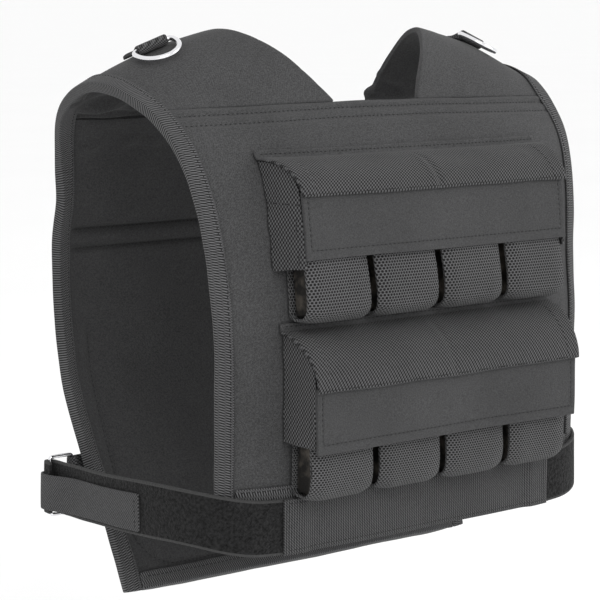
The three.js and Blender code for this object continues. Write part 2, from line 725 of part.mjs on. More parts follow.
// Waist belt
const BELT_TOP = FRONT_BOTTOM + BELT_LAP;
const BELT_MIDDLE = BELT_TOP - BELT_WIDTH / 2;
const UNDER_BAND = TAPE_ROOM + GAP;
const OVER_STRAP = UNDER_BAND + STRAP_CLOTH + GAP;

// Point at the belt's height, off the front panel's lower edge
function offPanel(x, off, z) {
  const at = frontPoint(x, 0);
  const slope = frontPoint(x + 1, 0).sub(frontPoint(x - 1, 0)).normalize();
  return at.addScaledVector(vec(slope.y, -slope.x, 0), off).setZ(z);
}

function beltBand() {
  const tuck = BELT_BAND_HALF - STRAP_TUCK;
  const lies = [0, 0.385, 0.72, 0.913, 0.986].map((share) => share * tuck);
  const half = [...lies, BELT_BAND_HALF];
  const xs = [...half.slice(1).reverse().map((x) => -x), ...half];
  const rows = [BELT_TOP, BELT_TOP - BELT_WIDTH].map((z) =>
    xs.map((x) => {
      const inner = Math.abs(x) < tuck - 5 ? UNDER_BAND : OVER_STRAP;
      return offPanel(x, inner + BELT_BAND_CLOTH, z);
    }),
  );
  return sheet(rows, behind(rows, BELT_BAND_CLOTH, vec(0, -1, 0)));
}

const LOOP_BAR = vec(STRAP_SIDE + LOOP_WIRE / 2 + LOOP_CLEAR + STRAP_CLOTH / 2, 0, BELT_MIDDLE);

// Centre line of the left strap from under the band to the loop, round its outer bar and back
function strapPath() {
  const first = offPanel(BELT_BAND_HALF - STRAP_TUCK, UNDER_BAND + STRAP_CLOTH / 2, BELT_MIDDLE);
  const end = offPanel(BELT_BAND_HALF, UNDER_BAND + STRAP_CLOTH / 2, BELT_MIDDLE);
  const route = STRAP_ROUTE.map(({ across, along, lift }) =>
    vec(across * STRAP_SIDE, end.y + along * STRAP_REACH, BELT_MIDDLE + lift * STRAP_RISE),
  );
  const bar = LOOP_BAR.clone().setY(end.y + STRAP_REACH);
  const round = LOOP_WIRE / 2 + LOOP_CLEAR + STRAP_CLOTH / 2;
  const run = new THREE.CatmullRomCurve3([end, ...route]).getPoints(20);
  const fold = arc(bar, X.clone().negate(), Y, round, 0, 180, 6);
  const back = bar.clone().add(vec(round - 0.2, -STRAP_END, 0));
  return { points: [first, ...run, ...fold, back], run, bar };
}

function pullTabPath({ run, bar }) {
  const off = (STRAP_CLOTH + PULL_TAB_CLOTH) / 2 + GAP;
  const round = LOOP_WIRE / 2 + LOOP_CLEAR + STRAP_CLOTH + 2 * GAP + PULL_TAB_CLOTH / 2;
  const from = bar.y - PULL_TAB_LENGTH;
  const lie = run
    .map((at, i) => {
      const along = (run[i + 1] ?? at).clone().sub(run[i - 1] ?? at).setZ(0).normalize();
      return at.clone().addScaledVector(vec(along.y, -along.x, 0), off);
    })
    .filter((at) => at.y > from && at.y < bar.y - 3.5 * STRAP_END);
  const over = bar.clone().add(vec(round - 0.2, -STRAP_END - 1, 0));
  const fold = arc(bar, X, Y, round, 0, 75, 4);
  return [...lie, over, ...fold].map((at) => at.clone().setZ(at.z - PULL_TAB_DROP));
}

function loopPath(bar) {
  const width = LOOP_INSIDE_WIDTH + LOOP_WIRE;
  const height = LOOP_INSIDE_HEIGHT + LOOP_WIRE;
  const centre = bar.clone().add(vec(-width / 2, 0, 0));
  const [x, z] = [width / 2 - LOOP_CORNER, height / 2 - LOOP_CORNER];
  return [
    [x, z, 0],
    [-x, z, 90],
    [-x, -z, 180],
    [x, -z, 270],
  ].flatMap(([cx, cz, from]) =>
    arc(centre.clone().add(vec(cx, 0, cz)), X, Z, LOOP_CORNER, from, from + 90, 3),
  );
}

// Point, upward direction and normal of the back panel's outer face at a distance across
function backFrame(x, z) {
  let [low, high] = [SEAM_STATION, LAST_STATION];
  while (high - low > 1e-4) {
    const middle = (low + high) / 2;
    [low, high] = flatFace(middle, 0).z > z ? [middle, high] : [low, middle];
  }
  const inner = flatFace(low, 0);
  const across = (x - inner.x) / (flatFace(low, 1).x - inner.x);
  const up = flatFace(low - 0.2, across).sub(flatFace(low + 0.2, across)).normalize();
  return { at: flatFace(low, across), up, normal: normalOf(flatFace, low, across) };
}

// Anchor strap from round the loop's inner bar to the back panel's outer face
function anchorPath(bar) {
  const inner = bar.clone().add(vec(-LOOP_INSIDE_WIDTH - LOOP_WIRE, 0, 0));
  const round = LOOP_WIRE / 2 + LOOP_CLEAR + ANCHOR_CLOTH / 2;
  const fold = arc(inner, Y.clone().negate(), X, round, -30, 180, 7).map((at) => ({
    at,
    up: Z,
    width: BELT_WIDTH,
  }));
  const sewn = spread(ANCHOR_SEWN + NECK_HALF, NECK_HALF, 4).map((x) => {
    const { at, up, normal } = backFrame(x, BELT_MIDDLE);
    return { at: at.addScaledVector(normal, ANCHOR_CLOTH / 2 + GAP), up, width: ANCHOR_WIDTH };
  });
  const between = [0.35, 0.7].map((share) => ({
    at: fold[7].at.clone().lerp(sewn[0].at, share),
    up: Z.clone().lerp(sewn[0].up, share).normalize(),
    width: lerp(BELT_WIDTH, ANCHOR_WIDTH, share),
  }));
  return [...fold, ...between, ...sewn];
}

// D-rings and their tabs
const RING_HOLE = RING_WIRE / 2 + GAP + 0.05;
const RING_EYE = RING_HOLE + RING_TAB_CLOTH;

function ringFrame() {
  const at = shellFace(RING_PLACE.station, RING_PLACE.across);
  const axis = shellFace(RING_PLACE.station, RING_PLACE.across + STEP)
    .sub(shellFace(RING_PLACE.station, RING_PLACE.across - STEP))
    .normalize();
  const normal = normalOf(shellFace, RING_PLACE.station, RING_PLACE.across);
  const back = normal.clone().cross(axis).normalize();
  if (back.y < 0) {
    back.negate();
  }
  return { centre: at.addScaledVector(normal, RING_EYE + RING_TAB_LIFT), axis, normal, back };
}

function ringPath({ centre, axis, normal, back }) {
  const lie = THREE.MathUtils.degToRad(RING_LIE);
  const reach = back.clone().multiplyScalar(-Math.cos(lie)).addScaledVector(normal, -Math.sin(lie));
  const half = (RING_INSIDE + RING_WIRE) / 2;
  const far = RING_REACH + RING_WIRE / 2 - half;
  const corner = (sign) =>
    arc(
      centre.clone().addScaledVector(axis, sign * (half - RING_CORNER)).addScaledVector(reach, RING_CORNER),
      reach.clone().negate(),
      axis.clone().multiplyScalar(sign),
      RING_CORNER,
      0,
      90,
      3,
    );
  const bow = arc(centre.clone().addScaledVector(reach, far), axis, reach, half, 0, 180, 12);
  return { path: [...corner(1), ...bow, ...corner(-1).reverse()], facing: axis.clone().cross(reach).normalize() };
}

function ringTabShape({ centre, normal, back }) {
  const under = spread(0, 1.7, 8).map((more) => {
    const d = shellFace(RING_PLACE.station + more, RING_PLACE.across).sub(centre);
    return { u: d.dot(back), v: d.dot(normal) + RING_TAB_LIFT };
  });
  const lies = under.filter(({ u }) => u < RING_TAB_LENGTH);
  const shape = new THREE.Shape();
  shape.moveTo(0, -RING_EYE);
  lies.slice(1).forEach(({ u, v }) => shape.lineTo(u, v));
  const tail = lies.slice(1).filter(({ u }) => u > 2 * RING_EYE);
  tail.reverse().forEach(({ u, v }) => shape.lineTo(u, v + 2 * RING_TAB_CLOTH));
  shape.absarc(0, 0, RING_EYE, THREE.MathUtils.degToRad(65), THREE.MathUtils.degToRad(270), false);
  const hole = new THREE.Path();
  hole.absarc(0, 0, RING_HOLE, 0, 2 * Math.PI, true);
  shape.holes.push(hole);
  return shape;
}

function sided(geometry, sign) {
  return sign < 0 ? geometry.scale(-1, 1, 1) : geometry;
}

const vest = new THREE.Group();
vest.add(paddedMesh("front_panel", front.rows));
vest.add(paddedMesh("back_panel", back.rows));
vest.add(bottomTape("front_bottom_tape", front));
vest.add(bottomTape("back_bottom_tape", back));
for (const { side, sign } of SIDES) {
  const rows = shoulderRows().map((row) =>
    row.map(({ outer, inner }) => ({ outer: onSide(sign, outer), inner: onSide(sign, inner) })),
  );
  vest.add(paddedMesh(`shoulder_${side}`, rows));
  vest.add(tape(`side_tape_${side}`, sideTape(sign)));
}
POUCH_ROWS.forEach((row) => vest.add(...pouchRow(row)));
vest.add(mesh("belt_band", beltBand(), "webbing"));
for (const { side, sign } of SIDES) {
  const strap = strapPath();
  const level = (width) => (at) => ({ at, up: Z, width });
  const parts = [
    ["belt_strap", ribbon(strap.points.map(level(BELT_WIDTH)), STRAP_CLOTH), "pile"],
    ["belt_tab", ribbon(pullTabPath(strap).map(level(PULL_TAB_WIDTH)), PULL_TAB_CLOTH), "webbing"],
    ["belt_loop", wire(loopPath(strap.bar), Y, LOOP_WIRE, 8), "chrome"],
    ["belt_anchor", ribbon(anchorPath(strap.bar), ANCHOR_CLOTH), "webbing"],
  ];
  const frame = ringFrame();
  const ring = ringPath(frame);
  const put = (u, v, w) =>
    frame.centre.clone().addScaledVector(frame.back, u).addScaledVector(frame.normal, v).addScaledVector(frame.axis, w);
  const tab = extruded(ringTabShape(frame), -RING_TAB_WIDTH / 2, RING_TAB_WIDTH, put);
  parts.push(["d_ring", wire(ring.path, ring.facing, RING_WIRE, 8), "chrome"], ["d_ring_tab", tab, "webbing"]);
  parts.forEach(([name, geometry, look]) => vest.add(mesh(`${name}_${side}`, sided(geometry, sign), look)));
}

export default vest;
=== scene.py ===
# Looks of the weighted vest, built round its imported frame. Sizes are in millimetres unless a
# name or a comment says otherwise. The meshes themselves are in metres.
import math
import random

import bmesh
import bpy
import numpy as np
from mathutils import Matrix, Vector
from mathutils.bvhtree import BVHTree
from mathutils.kdtree import KDTree


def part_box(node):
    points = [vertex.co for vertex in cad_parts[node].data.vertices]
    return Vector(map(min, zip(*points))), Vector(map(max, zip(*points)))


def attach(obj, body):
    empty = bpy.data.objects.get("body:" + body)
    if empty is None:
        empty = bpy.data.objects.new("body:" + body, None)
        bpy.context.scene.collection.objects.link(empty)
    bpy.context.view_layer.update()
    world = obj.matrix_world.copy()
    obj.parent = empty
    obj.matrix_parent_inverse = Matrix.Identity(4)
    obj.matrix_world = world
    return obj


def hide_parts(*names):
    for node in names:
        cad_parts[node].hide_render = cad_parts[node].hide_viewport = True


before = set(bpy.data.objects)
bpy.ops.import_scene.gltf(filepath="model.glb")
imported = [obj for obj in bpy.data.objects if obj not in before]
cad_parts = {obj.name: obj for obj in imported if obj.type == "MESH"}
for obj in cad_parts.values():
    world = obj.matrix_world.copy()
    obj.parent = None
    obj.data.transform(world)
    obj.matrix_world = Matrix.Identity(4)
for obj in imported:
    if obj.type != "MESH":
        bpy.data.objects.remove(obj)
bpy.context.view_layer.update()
MM = 0.001
TINY = 1e-12

# Camera at the photograph's viewing angle: its place in metres, its lens in pixels
CAMERA_AT = (-0.8696, -1.1649, 0.047)
TURN, TILT = math.radians(36.2), math.radians(8.7)
HALF_FRAME, FOCAL_LENGTH = 300, 1994.6
FAR_CLIP = 2000
look = Vector((math.sin(TURN) * math.cos(TILT), math.cos(TURN) * math.cos(TILT), -math.sin(TILT)))
camera = bpy.data.objects.new("camera", bpy.data.cameras.new("camera"))
bpy.context.scene.collection.objects.link(camera)
camera.location = CAMERA_AT
camera.rotation_euler = look.to_track_quat("-Z", "Y").to_euler()
camera.data.sensor_fit = "HORIZONTAL"
camera.data.angle = 2 * math.atan(HALF_FRAME / FOCAL_LENGTH)
camera.data.clip_end = FAR_CLIP
bpy.context.scene.camera = camera

# Sizes repeated from the part's source
HALF_WIDTH = 187
DEPTH = 225
FRONT_DROP = 288
BACK_DROP = 376
CREST_RISE = 24
NECK_HALF = 98
EDGE = 4.4
TAPE_ROOM = 1.7
GAP = 0.3
SLEEVE_HEIGHT = 76
SLEEVE_DEPTH = 25
SLEEVE_PITCH = 58
BAND_HALF = 114
BAND_HEIGHT = 41
LIP_HALF = 115.5
HOOD_SEAM_HALF = {"upper": 0.658 * HALF_WIDTH, "lower": 0.636 * HALF_WIDTH}
BELT_TOP = -284
BELT_WIDTH = 38
TAB_WIDTH = 24

# Stations of the shell. Columns: inner edge across (share of NECK_HALF) and deep (of DEPTH),
# arm edge across (of HALF_WIDTH) and deep (of DEPTH), high (share of the way from the front's
# bottom to the hem), and the power that bends the panel between its edges
FRONT_ROWS = [
    (0.378, -0.52, 0.856, -0.446, 0, 5),
    (0.378, -0.528, 0.856, -0.448, 0.2, 5),
    (0.378, -0.528, 0.856, -0.449, 0.41, 5),
    (0.378, -0.506, 0.863, -0.437, 0.59, 4.6),
    (0.378, -0.484, 0.883, -0.41, 0.725, 4.2),
    (0.378, -0.457, 0.903, -0.374, 0.83, 3.6),
    (0.378, -0.405, 0.924, -0.32, 0.917, 2.6),
]
# The first four columns as above, then the inner and the arm edge's high (of CREST_RISE)
SHOULDER_ROWS = [
    (0.378, -0.302, 0.946, -0.236, -1.04, -1.17),
    (0.51, -0.249, 0.966, -0.182, -0.33, -0.92),
    (0.602, -0.204, 0.979, -0.138, 0.17, -0.75),
    (0.694, -0.151, 0.989, -0.089, 0.54, -0.62),
    (0.8, -0.089, 0.997, -0.036, 0.85, -0.54),
    (0.9, -0.018, 1, 0.022, 1, -0.52),
    (0.96, 0.076, 1, 0.093, 0.83, -0.6),
    (0.99, 0.156, 0.989, 0.164, 0.37, -0.79),
    (1, 0.231, 0.973, 0.236, -0.37, -1.08),
    (1, 0.324, 0.947, 0.32, -1.58, -1.54),
]
# As the front's, with high from the shoulder's back seam down to the back's bottom
BACK_ROWS = [
    (1, 0.413, 0.914, 0.38, 0.083, 2),
    (1, 0.449, 0.909, 0.366, 0.178, 2.6),
    (1, 0.471, 0.909, 0.409, 0.249, 3),
    (1, 0.484, 0.906, 0.418, 0.35, 3),
    (1, 0.471, 0.906, 0.391, 0.5, 3),
    (1, 0.44, 0.9, 0.364, 0.586, 3),
    (1, 0.333, 0.882, 0.271, 0.746, 3),
    (1, 0.213, 0.856, 0.164, 0.873, 3),
    (1, 0.076, 0.84, 0.1, 1, 3),
]
HEM_HIGH = SHOULDER_ROWS[0][4] * CREST_RISE
SEAM_HIGH = SHOULDER_ROWS[-1][4] * CREST_RISE
HEM_STATION = len(FRONT_ROWS)
SEAM_STATION = HEM_STATION + len(SHOULDER_ROWS) - 1
LAST_STATION = SEAM_STATION + len(BACK_ROWS)


def between(a, b, share):
    return a + (b - a) * share


def shell_rows():
    rows = []
    for a, b, c, d, high, bend in FRONT_ROWS:
        z = between(-FRONT_DROP, HEM_HIGH, high)
        rows.append((a, b, z, c, d, z, bend))
    for a, b, c, d, inner, outer in SHOULDER_ROWS:
        rows.append((a, b, inner * CREST_RISE, c, d, outer * CREST_RISE, 1))
    for a, b, c, d, high, bend in BACK_ROWS:
        z = between(SEAM_HIGH, -BACK_DROP, high)
        rows.append((a, b, z, c, d, z, bend))
    return rows


ROWS = shell_rows()
INNER = np.array([(a * NECK_HALF, b * DEPTH, z) for a, b, z, *_ in ROWS])
ARM = np.array([(c * HALF_WIDTH, d * DEPTH, z) for _, _, _, c, d, z, _ in ROWS])
BEND = [row[6] for row in ROWS]


def curve(points, station):
    """Point on the centripetal Catmull-Rom curve through the stations."""
    at = min(max(station, 0.0), len(points) - 1.0)
    i = min(int(at), len(points) - 2)
    w = at - i
    p1, p2 = points[i], points[i + 1]
    p0 = points[i - 1] if i > 0 else 2 * p1 - p2
    p3 = points[i + 2] if i + 2 < len(points) else 2 * p2 - p1
    d0, d1, d2 = (max(np.dot(v, v), TINY) ** 0.25 for v in (p1 - p0, p2 - p1, p3 - p2))
    t1 = ((p1 - p0) / d0 - (p2 - p0) / (d0 + d1) + (p2 - p1) / d1) * d1
    t2 = ((p2 - p1) / d1 - (p3 - p1) / (d1 + d2) + (p3 - p2) / d2) * d1
    turn, settle = 3 * (p2 - p1) - 2 * t1 - t2, 2 * (p1 - p2) + t1 + t2
    return p1 + t1 * w + turn * w * w + settle * w**3


def shell(station, across):
    """Point of the left half's middle surface, across from the inner to the arm edge."""
    inner, arm = curve(INNER, station), curve(ARM, station)
    low = min(int(station), LAST_STATION - 1)
    bend = between(BEND[low], BEND[low + 1], station - low)
    y = between(inner[1], arm[1], across**bend)
    return np.array([between(inner[0], arm[0], across), y, between(inner[2], arm[2], across)])


def unit(v):
    return v / max(np.linalg.norm(v), TINY)


MIDDLE = np.array([0, 0, -FRONT_DROP / 2])
STEP = 0.02


def face_outward(normal, at):
    return -normal if np.dot(normal, at - MIDDLE) < 0 else normal


def shell_normal(station, across):
    s0, s1 = max(station - STEP, 0), min(station + STEP, LAST_STATION)
    a0, a1 = max(across - STEP, 0), min(across + STEP, 1)
    over = shell(station, a1) - shell(station, a0)
    along = shell(s1, across) - shell(s0, across)
    return face_outward(unit(np.cross(over, along)), shell(station, across))


def arm_frame(station):
    """Point of the arm edge, its way into the panel and its outward normal."""
    edge = shell(station, 1)
    into = unit(shell(station, 0.8) - edge)
    s0, s1 = max(station - STEP, 0), min(station + STEP, LAST_STATION)
    along = shell(s1, 1) - shell(s0, 1)
    return edge, into, face_outward(unit(np.cross(into, along)), edge)


def front_point(x, high):
    """Point of the front panel's middle surface, high above its bottom."""
    low, top = 0.0, float(HEM_STATION)
    while top - low > 1e-3:
        mid = (low + top) / 2
        if curve(INNER, mid)[2] < high - FRONT_DROP:
            low = mid
        else:
            top = mid
    inner, arm = curve(INNER, low), curve(ARM, low)
    across = min(max((abs(x) - inner[0]) / (arm[0] - inner[0]), 0), 1)
    at = shell(low, across)
    return np.array([x, at[1], at[2]])


class Row:
    """Frame of a pouch row: forward from the panel and high above the row's bottom.

    bottom and seam are above the panel's bottom, lip and seam_high above the row's.
    """

    def __init__(self, bottom, seam, lip, stand_off, over_tape):
        base, top = front_point(0, bottom), front_point(0, bottom + SLEEVE_HEIGHT)
        self.up = unit(top - base)
        self.out = np.array([0, -self.up[2], self.up[1]])
        highs = np.linspace(bottom, bottom + SLEEVE_HEIGHT, 9)
        bulge = max(np.dot(front_point(0, h) - base, self.out) for h in highs)
        self.origin = base + self.out * (bulge + over_tape + GAP)
        self.seam, self.stand_off = seam, stand_off
        self.lip, self.seam_high = lip - bottom, seam - bottom

    def place(self, x, forward, high):
        at = self.origin + self.out * forward + self.up * high
        return np.array([x, at[1], at[2]])

    def high(self, co):
        return (co - self.origin) @ self.up

    def forward(self, co):
        return (co - self.origin) @ self.out


ROW = {
    "upper": Row(bottom=0.42 * FRONT_DROP, seam=0.795 * FRONT_DROP, lip=0.705 * FRONT_DROP,
                 stand_off=1.22 * SLEEVE_DEPTH, over_tape=0),
    "lower": Row(bottom=0.017 * FRONT_DROP, seam=0.406 * FRONT_DROP, lip=0.281 * FRONT_DROP,
                 stand_off=1.36 * SLEEVE_DEPTH, over_tape=TAPE_ROOM),
}


class Nodes:
    """A procedural material and short ways to add nodes to it."""

    def __init__(self, name):
        self.material = bpy.data.materials.new(name)
        self.material.use_nodes = True
        self.tree = self.material.node_tree
        self.shader = self.tree.nodes["Principled BSDF"]

    def add(self, kind, inputs=(), **settings):
        node = self.tree.nodes.new(kind)
        for name, value in settings.items():
            setattr(node, name, value)
        for key, value in dict(inputs).items():
            if isinstance(value, bpy.types.NodeSocket):
                self.tree.links.new(value, node.inputs[key])
            else:
                node.inputs[key].default_value = value
        return node

    def set(self, name, value):
        if isinstance(value, bpy.types.NodeSocket):
            self.tree.links.new(value, self.shader.inputs[name])
        else:
            self.shader.inputs[name].default_value = value

    def math(self, operation, a, b=0.0, c=0.0):
        node = self.add("ShaderNodeMath", {0: a, 1: b, 2: c}, operation=operation)
        return node.outputs[0]

    def spread(self, value, low, high, to_low=0.0, to_high=1.0):
        inputs = {0: value, 1: low, 2: high, 3: to_low, 4: to_high}
        return self.add("ShaderNodeMapRange", inputs).outputs[0]

    def mix(self, factor, a, b, blend="MIX"):
        inputs = {0: factor, 6: a, 7: b}
        return self.add("ShaderNodeMix", inputs, data_type="RGBA", blend_type=blend).outputs[2]

    def noise(self, scale, detail=3.0):
        where = self.add("ShaderNodeTexCoord").outputs["Object"]
        inputs = {"Vector": where, "Scale": scale, "Detail": detail, "Roughness": 0.6}
        return self.add("ShaderNodeTexNoise", inputs).outputs[0]

    def wave(self, value, length):
        return self.math("COSINE", self.math("MULTIPLY", value, 2 * math.pi / length))

    def weave(self, pitch, skew, span, rows):
        """Two crossed waves on the piece's own grain, and rows pulled apart between them."""
        grain = self.add("ShaderNodeAttribute", attribute_name="grain").outputs["Vector"]
        u, v, _ = self.add("ShaderNodeSeparateXYZ", {0: grain}).outputs
        u = self.math("MULTIPLY_ADD", v, skew, u)
        yarns = self.math("MULTIPLY", self.wave(u, pitch[0]), self.wave(v, pitch[1]))
        return self.spread(self.math("MULTIPLY_ADD", self.wave(v, pitch[1] / 2), -rows, yarns), *span)

    def bump(self, height, strength, depth):
        inputs = {"Height": height, "Strength": strength, "Distance": depth * MM}
        self.set("Normal", self.add("ShaderNodeBump", inputs).outputs[0])


def grey(value, tint=0.0):
    return (value, value, value * (1 + tint), 1)


# A strap's border, as shares of its width from the middle
BORDER = (0.466, 0.474)


def cloth(name, dark, light, pitch, skew=0.0, span=(-0.8, 0.3), depth=0.3, fuzz=0.25,
          scale=800.0, rough=0.9, edge=None, rows=0.0):
    """Yarns and fuzz in one height, which sets both the colour and the bump."""
    n = Nodes(name)
    yarn = n.weave(pitch, skew, span, rows)
    fibre = n.spread(n.noise(scale, 2.0), 0.32, 0.68)
    height = n.math("ADD", n.math("MULTIPLY", yarn, 1 - fuzz), n.math("MULTIPLY", fibre, fuzz))
    colour = n.mix(height, grey(dark, 0.02), grey(light, 0.02))
    cloud = n.spread(n.noise(16.0, 4.0), 0.3, 0.7, 0.9, 1.1)
    cloud = n.add("ShaderNodeCombineColor", {0: cloud, 1: cloud, 2: cloud}).outputs[0]
    colour = n.mix(1.0, colour, cloud, "MULTIPLY")
    if edge is not None:
        across = n.add("ShaderNodeAttribute", attribute_name="across").outputs["Fac"]
        off = n.math("ABSOLUTE", n.math("SUBTRACT", across, 0.5))
        colour = n.mix(n.spread(off, *BORDER), colour, grey(edge))
    n.set("Base Color", colour)
    n.set("Roughness", rough)
    n.set("Specular IOR Level", 0.2)
    n.set("Sheen Weight", 0.04)
    n.set("Sheen Roughness", 0.5)
    n.bump(height, 0.8, depth)
    return n.material


def iron():
    n = Nodes("iron")
    patch = n.spread(n.noise(90.0, 6.0), 0.46, 0.66)
    grain = n.noise(700.0, 3.0)
    n.set("Base Color", n.mix(patch, (0.01, 0.009, 0.008, 1), (0.085, 0.074, 0.062, 1)))
    n.set("Roughness", n.spread(grain, 0.0, 1.0, 0.35, 0.7))
    n.set("Metallic", 0.35)
    n.bump(grain, 0.5, 0.3)
    return n.material


def chrome():
    n = Nodes("chrome")
    n.set("Base Color", (0.8, 0.8, 0.82, 1))
    n.set("Metallic", 1.0)
    n.set("Roughness", n.spread(n.noise(220.0), 0.0, 1.0, 0.05, 0.22))
    return n.material


LOOK = {
    "cloth": cloth("cloth", 0.024, 0.072, (1.2, 1.3), depth=0.15, fuzz=0.75, scale=1000.0),
    # Darker copy of the cloth for the inner faces of the panels and shoulders: painted shade inside
    # the vest
    "painted_shade_inside": cloth("painted_shade_inside", 0.02, 0.055, (1.2, 1.3), depth=0.1, fuzz=0.7, scale=900.0),
    "band": cloth("band_cloth", 0.024, 0.06, (1.1, 1.2), depth=0.12, fuzz=0.65, scale=1100.0),
    "weave": cloth("coarse_weave", 0.001, 0.103, (2.6, 2.9), skew=0.42, span=(-0.5, 0.6),
                   depth=0.6, fuzz=0.12),
    "wing": cloth("wing_weave", 0.001, 0.106, (2.6, 3.3), span=(-0.45, 0.6), depth=0.6, fuzz=0.12),
    "tape": cloth("binding_tape", 0.002, 0.125, (1.75, 9.0), skew=0.3, span=(-0.5, 0.6),
                  depth=0.4, fuzz=0.15),
    "webbing": cloth("webbing", 0.001, 0.12, (2.2, 3.4), span=(-0.3, 0.7), depth=0.7, fuzz=0.1,
                     rows=0.5),
    "belt": cloth("belt_elastic", 0.004, 0.094, (2.0, 4.0), skew=0.5, span=(-0.5, 0.6),
                  depth=0.4, fuzz=0.2),
    "strap_web": cloth("strap_webbing", 0.004, 0.11, (2.0, 2.4), span=(-0.5, 0.6), depth=0.5,
                       fuzz=0.2),
    "pile": cloth("loop_pile", 0.002, 0.021, (1.7, 1.9), span=(-1.0, 1.0), depth=1.0, fuzz=0.85,
                  scale=480.0, rough=1.0, edge=0.045),
    "thread": cloth("thread", 0.01, 0.02, (0.8, 0.8), depth=0.1),
    "iron": iron(),
    "chrome": chrome(),
}

# Slow bend of all the cloth together, so that what lies on it keeps its place
random.seed(11)
WAVE_LENGTHS = (150, 120, 95, 80, 64, 52)
BEND_AMOUNT = 0.5


def draw_wave(length):
    way = Vector([random.uniform(-1, 1) for _ in range(3)]).normalized()
    phase = random.uniform(0, 6.28)
    push = Vector([random.uniform(-most, most) for most in (0.5, 1, 0.5)])
    return way, length, phase, push


WAVES = [draw_wave(length) for length in WAVE_LENGTHS]


def slow_bend(co):
    move = np.zeros_like(co)
    for way, length, phase, push in WAVES:
        wave = np.sin(co @ np.array(way) * 2 * math.pi / length + phase)
        move += wave[:, None] * np.array(push)[None, :] * BEND_AMOUNT
    return move


def ripple(co, length, seed):
    """Smooth unevenness from -1 to 1, with waves of about the given length."""
    draw = random.Random(seed)
    total = np.zeros(len(co))
    for _ in range(6):
        way = np.array([draw.uniform(-1, 1) for _ in range(3)])
        way /= np.linalg.norm(way)
        stretch = length * draw.uniform(0.7, 1.4)
        total += np.sin(co @ way * 2 * math.pi / stretch + draw.uniform(0, 6.28))
    return total / 6


def bell(values, middle, width):
    return np.exp(-(((values - middle) / width) ** 2))


def ramp(values, low, high):
    t = np.clip((values - low) / (high - low), 0, 1)
    return t * t * (3 - 2 * t)


def inward(co, normals):
    """How far each point's normal faces the wearer, from 0 to 1."""
    facing = ((co - MIDDLE) * normals).sum(1) / np.linalg.norm(co - MIDDLE, axis=1)
    return np.clip(-3 * facing, 0, 1)


def is_inside(co, normals):
    return ((co - MIDDLE) * normals).sum(1) < 0


# Grains: two lengths along the cloth for each point
def plain_grain(co):
    return co[:, 0], co[:, 2] - co[:, 1]


def front_grain(co):
    return co[:, 0], co[:, 2]


def wing_grain(co):
    return co[:, 1], co[:, 2]


def side_grain(co):
    return co[:, 1] + 0.5 * np.abs(co[:, 0]), co[:, 2]


def tab_grain(co):
    return co[:, 1] - co[:, 2], co[:, 0]


# Visible pieces from the CAD nodes
AXIS_X, AXIS_Z = 0, 2
SAME_POINT = 2e-6
QUAD_ANGLE, CREASE_ANGLE = math.radians(35), math.radians(38)
pieces = {}


def make_quads(bm, cuts):
    """Join the solid's triangles into quads and cut them at places along an axis."""
    bmesh.ops.remove_doubles(bm, verts=bm.verts, dist=SAME_POINT)
    bmesh.ops.join_triangles(
        bm, faces=bm.faces, angle_face_threshold=QUAD_ANGLE, angle_shape_threshold=math.pi
    )
    for axis, values in cuts:
        normal = [0.0, 0.0, 0.0]
        normal[axis] = 1.0
        for value in values:
            at = [value * MM * along for along in normal]
            parts = [*bm.verts, *bm.edges, *bm.faces]
            bmesh.ops.bisect_plane(bm, geom=parts, plane_co=at, plane_no=normal, dist=1e-6)


def mark_width(bm, width):
    """Keep on each point how far across the strap it lies, for the borders in its look."""
    layer = bm.verts.layers.float.new("across")
    for edge in bm.edges:
        low, high = sorted(edge.verts, key=lambda v: v.co.z)
        if high.co.z - low.co.z > 0.6 * width * MM:
            low[layer], high[layer] = 0.0, 1.0


def mark_creases(bm, crease):
    layer = bm.edges.layers.float.new("crease_edge")
    for edge in bm.edges:
        if len(edge.link_faces) == 2 and edge.calc_face_angle() > CREASE_ANGLE:
            edge[layer] = crease


def base_mesh(node, cuts, width, crease):
    bm = bmesh.new()
    bm.from_mesh(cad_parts[node].data)
    make_quads(bm, cuts)
    if width is not None:
        mark_width(bm, width)
    mark_creases(bm, crease)
    mesh = bpy.data.meshes.new(node + "_visual")
    bm.to_mesh(mesh)
    bm.free()
    return mesh


def subdivided(node, mesh, levels):
    """New object of the mesh with its subdivision applied."""
    piece = bpy.data.objects.new(node + "_visual", mesh)
    bpy.context.scene.collection.objects.link(piece)
    modifier = piece.modifiers.new("smooth", "SUBSURF")
    modifier.levels = modifier.render_levels = levels
    bpy.context.view_layer.update()
    ready = bpy.context.evaluated_depsgraph_get()
    done = bpy.data.meshes.new_from_object(piece.evaluated_get(ready))
    piece.modifiers.clear()
    piece.data = done
    bpy.data.meshes.remove(mesh)
    return piece


def vectors(items, name):
    values = np.zeros(len(items) * 3)
    items.foreach_get(name, values)
    return values.reshape(-1, 3)


